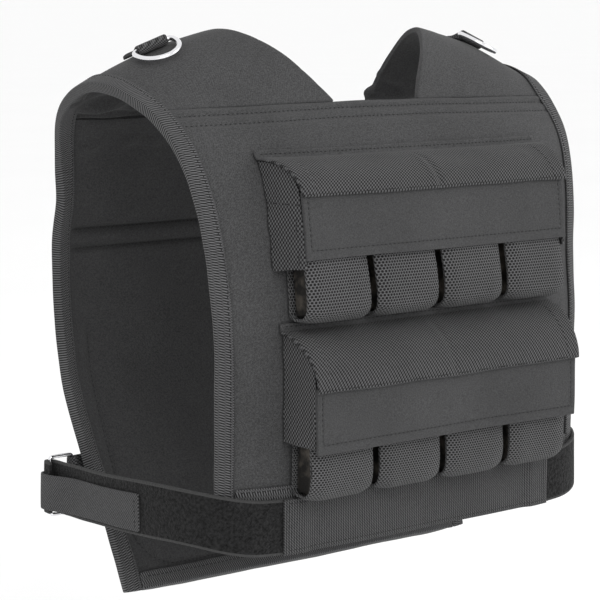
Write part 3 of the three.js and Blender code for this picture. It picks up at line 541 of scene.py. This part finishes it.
def soften(node, look_name, levels=2, crease=0.75, cuts=(), width=None, sculpt=None,
           bend="cloth", body="vest", grain=plain_grain, second=None):
    """Visible piece from a CAD node: quads, cuts, creased subdivision, then moves in code.

    cuts has pairs of an axis and places along it. width is a strap's, where its look has
    borders. sculpt gives the moves from points and normals. bend is "cloth", "rigid" for what
    the cloth carries, or None. second is a look and a test that picks its faces.
    """
    piece = subdivided(node, base_mesh(node, cuts, width, crease), levels)
    mesh = piece.data
    co = vectors(mesh.vertices, "co") / MM
    normals = vectors(mesh.vertices, "normal")
    moved = co.copy()
    if sculpt is not None:
        moved = moved + sculpt(co, normals)
    if bend == "cloth":
        moved = moved + slow_bend(co)
    elif bend == "rigid":
        moved = moved + slow_bend(co.mean(axis=0, keepdims=True))
    u, v = grain(co)
    mesh.attributes.new("grain", "FLOAT_VECTOR", "POINT")
    mesh.attributes["grain"].data.foreach_set("vector", np.stack([u, v, u * 0], axis=1).ravel())
    mesh.materials.clear()
    mesh.materials.append(LOOK[look_name])
    if second is not None:
        other, test = second
        mesh.materials.append(LOOK[other])
        centres, facing = vectors(mesh.polygons, "center") / MM, vectors(mesh.polygons, "normal")
        index = test(centres, facing).astype(np.int32)
        mesh.polygons.foreach_set("material_index", index)
    mesh.vertices.foreach_set("co", (moved * MM).ravel())
    mesh.polygons.foreach_set("use_smooth", [True] * len(mesh.polygons))
    mesh.update()
    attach(piece, body)
    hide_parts(node)
    pieces[node] = piece
    return piece


def steps(low, high, step):
    return list(np.arange(low, high, step))


# Shell. The hem's seams are below the hem, the back's channel seams and pad line are heights
HEM_SEAMS = (4.6, 10.5)
CHANNEL = (-122.0, -136.0)
PAD_HALF, PAD_LOW, PAD_TOP, PAD_ROUND = 141, -361, -190, 30
LINING_HALF = 158
TOP_GATHER = -52
HEM_CUTS = steps(-45, -25, 1.6)
LINING_CUTS = steps(-148, -110, 2.4) + [-66, -60, -54, -48, -42]


def hem(x):
    """Height of the front's top hem, which falls towards the arms."""
    return HEM_HIGH - 3.1 * np.clip((np.abs(x) - 37) / 136, 0, 1)


def pad_line(x, z):
    """Distance from the seam with round corners that runs round the back's pad."""
    across = np.maximum(np.abs(x) - PAD_HALF + PAD_ROUND, 0)
    down = np.maximum(PAD_LOW + PAD_ROUND - z, 0)
    return np.hypot(across, down) - PAD_ROUND


def front_moves(co, normals):
    outer = 1 - inward(co, normals)
    drop = hem(co[:, 0]) - co[:, 2]
    groove = sum(bell(drop, seam, 1.1) for seam in HEM_SEAMS) * 0.7
    roll = bell(drop, 2.2, 1.3) * 0.8 + bell(drop, 7.5, 2.2) * 0.4
    puff = ripple(co, 45, 3) * 0.4
    return normals * (puff + (roll - groove) * outer)[:, None]


def back_moves(co, normals):
    x, high = co[:, 0], co[:, 2]
    inside = inward(co, normals) * ramp(LINING_HALF - np.abs(x), 0, 10)
    seams = bell(high, CHANNEL[0], 1.9) * 3.2 + bell(high, CHANNEL[1], 1.9) * 2.2
    ridge = bell(high, sum(CHANNEL) / 2, 4.5) * 2.2
    below = bell(high, CHANNEL[1] - 7, 5.0) * 1.2
    pad = bell(pad_line(x, high), 0, 2.6) * (high < PAD_TOP) * 1.6
    gathers = (0.9 + 1.6 * ripple(co, 26, 6)) * 2.4
    top = bell(high + 0.06 * np.abs(x), TOP_GATHER, 5.0) * gathers
    top -= bell(high, SEAM_HIGH - 1.5, 2.5) * 1.8
    puff = ripple(co, 60, 5) * 0.8
    return normals * (puff + (ridge + below + top - seams - pad) * inside)[:, None]


def shoulder_moves(co, normals):
    inside = inward(co, normals)
    near = ramp(co[:, 1], 25, 60)
    over = co[:, 2] - SEAM_HIGH
    fan = np.sin((over * 1.4 + np.abs(co[:, 0]) * 0.5) / 3.2) * bell(over, 14, 11) * 2.2
    folds = bell(over, 8, 4.5) * 4.0 - bell(over, 1.5, 2.2) * 3.0 + fan + ripple(co, 26, 8) * 2.0
    return normals * (ripple(co, 50, 7) * 0.6 + folds * inside * near)[:, None]


# The inner faces of the panels and shoulders take the darker copy of the cloth, painted shade inside
# the vest
soften("front_panel", "cloth", levels=3, crease=0.5, cuts=[(AXIS_Z, HEM_CUTS)],
       sculpt=front_moves, second=("painted_shade_inside", is_inside))
soften("back_panel", "cloth", levels=3, crease=0.5, cuts=[(AXIS_Z, LINING_CUTS)],
       sculpt=back_moves, second=("painted_shade_inside", is_inside))
for side in ("right", "left"):
    soften(f"shoulder_{side}", "cloth", levels=3, crease=0.5, sculpt=shoulder_moves,
           second=("painted_shade_inside", is_inside))

# Side tapes. Their grain is the length along the arm edge and the distance in from it
TAPE_SEAM, BACK_TAPE_SEAM = 10.2, 10.6
ARM_LINE = [arm_frame(s) for s in np.linspace(0, LAST_STATION, 500)]
ARM_POINTS = np.array([line[0] for line in ARM_LINE])
ARM_INWARD = np.array([line[1] for line in ARM_LINE])
ARM_ALONG = np.gradient(ARM_POINTS, axis=0)
ARM_ALONG /= np.linalg.norm(ARM_ALONG, axis=1)[:, None]


def lengths_along(points):
    return np.concatenate([[0], np.cumsum(np.linalg.norm(np.diff(points, axis=0), axis=1))])


ARM_LENGTH = lengths_along(ARM_POINTS)
arm_tree = KDTree(len(ARM_POINTS))
for i, point in enumerate(ARM_POINTS):
    arm_tree.insert(point, i)
arm_tree.balance()


def tape_grain(co):
    at = co.copy()
    at[:, 0] = np.abs(at[:, 0])
    near = np.array([arm_tree.find(point)[1] for point in at])
    off = at - ARM_POINTS[near]
    return ARM_LENGTH[near] + (off * ARM_ALONG[near]).sum(1), (off * ARM_INWARD[near]).sum(1)


def side_tape_moves(co, normals):
    across = tape_grain(co)[1]
    return normals * (ripple(co, 22, 9) * 0.25 - bell(across, TAPE_SEAM, 0.9) * 0.35)[:, None]


def bottom_tape_moves(co, normals):
    return normals * (ripple(co, 22, 9) * 0.25)[:, None]


for side in ("right", "left"):
    soften(f"side_tape_{side}", "tape", levels=3, crease=0.6, sculpt=side_tape_moves,
           grain=tape_grain)
for node in ("front_bottom_tape", "back_bottom_tape"):
    soften(node, "tape", levels=3, crease=0.6, sculpt=bottom_tape_moves, grain=front_grain)

# Pouch rows. The insets of hems and seams are from the cloth's edges
HOOD_HEM = 10
HOOD_FOLD = {"upper": 1.0, "lower": 0.4}
SEAM_ALLOWANCE = 0.4
BAND_SEAM, BAND_SIDE_SEAM = 6.2, 4.2


def hood_moves(row, fold_depth):
    def moves(co, normals):
        x, forward = co[:, 0], row.forward(co)
        top = np.clip(normals @ (row.up + row.out), 0, 1)
        slope = ramp(forward, 3, 9)
        fold = (bell(x, 1.0, 2.6) * 1.1 - bell(x, -4.5, 2.8) * 0.6) * fold_depth
        hem_edge = LIP_HALF - HOOD_HEM
        hemmed = ramp(np.abs(x), hem_edge - 0.5, hem_edge + 0.5) * 0.5
        lines = np.sin(x / 13.0 + row.seam) * np.sin(forward / 9.0) * 0.6
        puff = (ripple(co, 30, 13) * 0.6 + lines) * slope
        move = normals * (puff + (hemmed - fold) * slope * top)[:, None]
        move[:, 0] -= 0.006 * x * ramp(forward, 12, 24)
        return move

    return moves


def band_moves(row):
    def moves(co, normals):
        x, high = co[:, 0], row.high(co) - row.lip
        front = np.clip(normals @ row.out, 0, 1)
        low = ramp(-high, 5, BAND_HEIGHT)
        sway = np.sin(x / 31.0 + row.seam) * 0.9 * low + ripple(co, 70, 17) * 0.4
        from_low, from_side = high + BAND_HEIGHT, BAND_HALF - np.abs(x)
        off_seam = np.minimum(from_low - BAND_SEAM, from_side - BAND_SIDE_SEAM)
        seam = bell(off_seam, 0, 1.0) * 0.6
        edge = ramp(BAND_SEAM - np.minimum(from_low, from_side), 0, 0.8) * 0.3
        dent = bell(x, 1.0, 5.0) * ramp(high, -18, 0) * 0.8
        sheet = normals * ((edge - seam - dent) * front)[:, None]
        return row.out[None, :] * sway[:, None] + sheet

    return moves


def sleeve_moves(row, middle):
    span = row.lip - BAND_HEIGHT - 2

    def moves(co, normals):
        off = np.abs(co[:, 0] - middle)
        side = np.clip((off - 14) / 11, 0, 1) ** 2
        high = row.high(co)
        front = ramp(row.forward(co), SLEEVE_DEPTH * 0.35, SLEEVE_DEPTH - 3)
        low = (1 - ramp(high, 0, 20)) ** 2
        swell = 1.8 * np.sin(math.pi * np.clip(high / span, 0, 1)) - 1.2 * low - 3.0 * side
        lift = 1.8 * side * (1 - ramp(high, 2, 14))
        move = row.out[None, :] * (swell * front)[:, None] + row.up[None, :] * lift[:, None]
        move[:, 0] += np.sign(co[:, 0] - middle) * 0.9 * ramp(off, 18, 25) * front
        return move + normals * (ripple(co, 16, 19) * 0.25)[:, None]

    return moves


def wing_moves(co, normals):
    return normals * (ripple(co, 24, 23) * 0.7 + ripple(co, 11, 24) * 0.25)[:, None]


hem_cuts = [s * (LIP_HALF - HOOD_HEM - v) for s in (-1, 1) for v in (-2, -0.5, 0.5, 2)]
fold_cuts = [-9, -6, -4.5, -3, -1.5, 1, 3, 5, 8]
side_cuts = [s * (BAND_HALF - v) for s in (-1, 1) for v in (2, 3.5, 5, 7, 10)]
for name, row in ROW.items():
    def above_seam(co, normals, row=row):
        return row.high(co) > row.seam_high + SEAM_ALLOWANCE

    def hood_grain(co, row=row):
        return co[:, 0], 0.8 * (row.forward(co) - row.high(co))

    soften(f"{name}_hood", "weave", levels=2, crease=0.7,
           cuts=[(AXIS_X, hem_cuts + fold_cuts + steps(-100, 101, 11.1))],
           sculpt=hood_moves(row, HOOD_FOLD[name]), grain=hood_grain, second=("cloth", above_seam))
    drops = (-1, 3, 8, 14, 20, 26, 31, 33.5, 35, 36.5, 39)
    heights = [row.place(0, 0, row.lip - v)[2] for v in drops]
    soften(f"{name}_band", "band", levels=2, crease=0.6,
           cuts=[(AXIS_Z, heights), (AXIS_X, side_cuts + steps(-98, 99, 9.8))],
           sculpt=band_moves(row))
    for side in ("right", "left"):
        soften(f"{name}_wing_{side}", "wing", levels=3, crease=0.6, sculpt=wing_moves,
               grain=wing_grain)
    for i in range(4):
        middle = (i - 1.5) * SLEEVE_PITCH
        round_cuts = [middle + s * v for s in (-1, 1) for v in (7, 13, 17, 20, 22.5, 24)]
        soften(f"{name}_sleeve_{i + 1}", "webbing", levels=2, crease=0.55,
               cuts=[(AXIS_X, round_cuts)], sculpt=sleeve_moves(row, middle))
        soften(f"{name}_bar_{i + 1}", "iron", levels=2, crease=0.85,
               cuts=[(AXIS_X, [middle])], bend="rigid")


# Belt and rings
def web_moves(co, normals):
    return normals * (ripple(co, 30, 37) * 0.25)[:, None]


belt_heights = [BELT_TOP - v for v in (2, 4, 9, 15, 21, 27, 33, 35, 37)]
soften("belt_band", "belt", levels=2, crease=0.6,
       cuts=[(AXIS_Z, belt_heights), (AXIS_X, steps(-112, 113, 11.2))], width=BELT_WIDTH,
       sculpt=web_moves, grain=front_grain)
for side in ("right", "left"):
    soften(f"belt_strap_{side}", "pile", levels=3, crease=0.6, width=BELT_WIDTH,
           sculpt=web_moves, grain=side_grain)
    soften(f"belt_tab_{side}", "strap_web", levels=3, crease=0.6, width=TAB_WIDTH,
           sculpt=web_moves, grain=side_grain)
    soften(f"belt_anchor_{side}", "strap_web", levels=3, crease=0.6,
           sculpt=web_moves, grain=side_grain)
    soften(f"belt_loop_{side}", "chrome", levels=2, crease=0.0, bend=None)
    soften(f"d_ring_{side}", "chrome", levels=2, crease=0.0, bend=None,
           body=f"ring_{side}")
    soften(f"d_ring_tab_{side}", "strap_web", levels=2, crease=0.6, bend=None,
           grain=tab_grain)


# Stitches: small spindles of thread laid along a line and set on the cloth under it
REACH = 4
SINK = 0.02


class Thread:
    def __init__(self):
        self.points, self.faces = [], []

    def stitch(self, at, way, normal, length, thick):
        side = np.cross(normal, way)
        start = len(self.points)
        ends = (at - way * length / 2, at + way * length / 2)
        waist = [at + d * thick for d in (side, normal, -side, -normal)]
        self.points += [ends[0], ends[1], *waist]
        for i in range(4):
            a, b = start + 2 + i, start + 2 + (i + 1) % 4
            self.faces += [(start, b, a), (start + 1, a, b)]

    def line(self, points, node, cast=None, pitch=3.5, length=2.5, thick=0.45):
        """Stitches on the node's piece: cast along a direction, or nearest to the line."""
        tree = trees[node]
        points = np.array(points, float)
        along = lengths_along(points)
        where = np.arange(pitch / 2, along[-1], pitch)
        spots = np.stack([np.interp(where, along, points[:, k]) for k in range(3)], axis=1)
        for i, spot in enumerate(spots):
            before, after = spots[max(i - 1, 0)], spots[min(i + 1, len(spots) - 1)]
            if cast is None:
                at, normal, _, far = tree.find_nearest(Vector(spot * MM))
                missed = at is None or far > REACH * MM
            else:
                at, normal, _, _ = tree.ray_cast(Vector(spot * MM), Vector(cast))
                missed = at is None
            if missed:
                continue
            normal = np.array(normal)
            way = after - before
            way = unit(way - normal * np.dot(way, normal))
            self.stitch(np.array(at) / MM + normal * SINK, way, normal, length, thick)

    def across(self, half, y, high, node, cast):
        self.line([(-half, y, high), (half, y, high)], node, cast)

    def piece(self, name):
        mesh = bpy.data.meshes.new(name)
        mesh.from_pydata([tuple(p * MM) for p in self.points], [], self.faces)
        mesh.materials.append(LOOK["thread"])
        piece = bpy.data.objects.new(name, mesh)
        bpy.context.scene.collection.objects.link(piece)
        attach(piece, "vest")


bpy.context.view_layer.update()
ready = bpy.context.evaluated_depsgraph_get()
trees = {node: BVHTree.FromObject(piece, ready) for node, piece in pieces.items()}
thread = Thread()

# Where the casts start, clear of the cloth they meet, and their directions
AHEAD, INSIDE, BEHIND, BESIDE = -200, -60, 200, 140
TAB_BESIDE = 230
BACKWARD, FORWARD = (0, 1, 0), (0, -1, 0)


def sew_shell():
    for side, sign in (("right", -1), ("left", 1)):
        mirror = np.array([sign, 1, 1])
        frames = [arm_frame(s) for s in np.linspace(0.05, LAST_STATION - 0.05, 150)]
        for height in (TAPE_ROOM + 1, -EDGE - TAPE_ROOM - 1):
            rows = [(edge + into * TAPE_SEAM + normal * height) * mirror
                    for edge, into, normal in frames]
            thread.line(rows, f"side_tape_{side}")
        station = SEAM_STATION - 0.15
        over = [(shell(station, a) + shell_normal(station, a) * 2) * mirror
                for a in np.linspace(0.02, 0.9, 24)]
        thread.line(over, f"shoulder_{side}")
    for seam in HEM_SEAMS:
        points = [(x, AHEAD, hem(x) - seam) for x in np.linspace(-160, 160, 60)]
        thread.line(points, "front_panel", BACKWARD)
    high = -FRONT_DROP + TAPE_SEAM
    thread.across(146, AHEAD, high, "front_bottom_tape", BACKWARD)
    thread.across(146, INSIDE, high, "front_bottom_tape", FORWARD)
    high = -BACK_DROP + BACK_TAPE_SEAM
    thread.across(140, INSIDE, high, "back_bottom_tape", BACKWARD)
    thread.across(140, BEHIND, high, "back_bottom_tape", FORWARD)
    for high in CHANNEL:
        thread.across(150, INSIDE, high, "back_panel", BACKWARD)
    x, z = PAD_HALF - PAD_ROUND, PAD_LOW + PAD_ROUND
    corner = [(x + PAD_ROUND * math.cos(t), z - PAD_ROUND * math.sin(t))
              for t in np.linspace(0, math.pi / 2, 12)]
    outline = [(PAD_HALF, -200), *corner]
    outline += [(-x, z) for x, z in outline[::-1]]
    thread.line([(x, INSIDE, z) for x, z in outline], "back_panel", BACKWARD)


def sew_row(name, row):
    toward = tuple(-row.out)
    half, high = HOOD_SEAM_HALF[name] - 3, row.seam - FRONT_DROP + 2.8
    seam = [(x, AHEAD, high) for x in np.linspace(-half, half, 40)]
    thread.line(seam, f"{name}_hood", BACKWARD)
    face, inset = row.stand_off + 8, BAND_HALF - BAND_SIDE_SEAM
    low = row.lip - BAND_HEIGHT + BAND_SEAM
    thread.line([row.place(-inset, face, low), row.place(inset, face, low)], f"{name}_band", toward)
    for side, sign in (("right", -1), ("left", 1)):
        ends = [row.place(sign * inset, face, row.lip - 2), row.place(sign * inset, face, low)]
        thread.line(ends, f"{name}_band", toward)
        wing, sideways = f"{name}_wing_{side}", (-sign, 0, 0)
        ends = [row.place(sign * BESIDE, row.stand_off - 9, row.lip - v) for v in (12, 44)]
        thread.line(ends, wing, sideways)
        if name == "upper":
            thread.line([(sign * BESIDE, -136, -87), (sign * BESIDE, -104, -87)], wing, sideways)
    half = LIP_HALF - 4
    lip = [row.place(x, face, row.lip + 1.6) for x in np.linspace(-half, half, 30)]
    thread.line(lip, f"{name}_hood", toward, pitch=3.0, length=2.2)


def sew_belt():
    half, inset = 115, 3
    top, low = BELT_TOP - inset, BELT_TOP + inset - BELT_WIDTH
    thread.across(half, AHEAD, top, "belt_band", BACKWARD)
    thread.across(half, AHEAD, low, "belt_band", BACKWARD)
    for side, sign in (("right", -1), ("left", 1)):
        ends = [(sign * half, AHEAD, top), (sign * half, AHEAD, low)]
        thread.line(ends, "belt_band", BACKWARD)
        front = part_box(f"belt_tab_{side}")[0][1] / MM + 4
        ends = [(sign * TAB_BESIDE, front, -290), (sign * TAB_BESIDE, front, -315)]
        thread.line(ends, f"belt_tab_{side}", (-sign, 0, 0))


sew_shell()
for name, row in ROW.items():
    sew_row(name, row)
sew_belt()
thread.piece("stitching")


for name, row in ROW.items():
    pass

# Floor, light and tone, in metres and watts
FLOOR_Z, FLOOR_HALF = -0.62, 400.0
AIM = Vector((0, 0, -0.15))
LIGHT_SIZE = 1.6
floor_mesh = bpy.data.meshes.new("floor")
corners = [(-1, -1), (1, -1), (1, 1), (-1, 1)]
points = [(x * FLOOR_HALF, y * FLOOR_HALF, FLOOR_Z) for x, y in corners]
floor_mesh.from_pydata(points, [], [(0, 1, 2, 3)])
floor = bpy.data.objects.new("floor", floor_mesh)
bpy.context.scene.collection.objects.link(floor)
paint = Nodes("floor")
paint.set("Base Color", paint.mix(paint.noise(2.0), grey(0.95), grey(0.98)))
paint.set("Roughness", 0.9)
floor_mesh.materials.append(paint.material)

world = bpy.data.worlds.new("studio")
bpy.context.scene.world = world
world.use_nodes = True
world.node_tree.nodes["Background"].inputs[0].default_value = (1, 1, 1, 1)
world.node_tree.nodes["Background"].inputs[1].default_value = 1.0


def area_light(name, at, power):
    light = bpy.data.objects.new(name, bpy.data.lights.new(name, "AREA"))
    bpy.context.scene.collection.objects.link(light)
    light.location = at
    light.rotation_euler = (AIM - Vector(at)).to_track_quat("-Z", "Y").to_euler()
    light.data.size = LIGHT_SIZE
    light.data.energy = power


area_light("key", (-0.7, -2.7, 1.3), 30)
area_light("fill", (2.0, -1.5, 0.8), 14)
bpy.context.scene.view_settings.view_transform = "Standard"
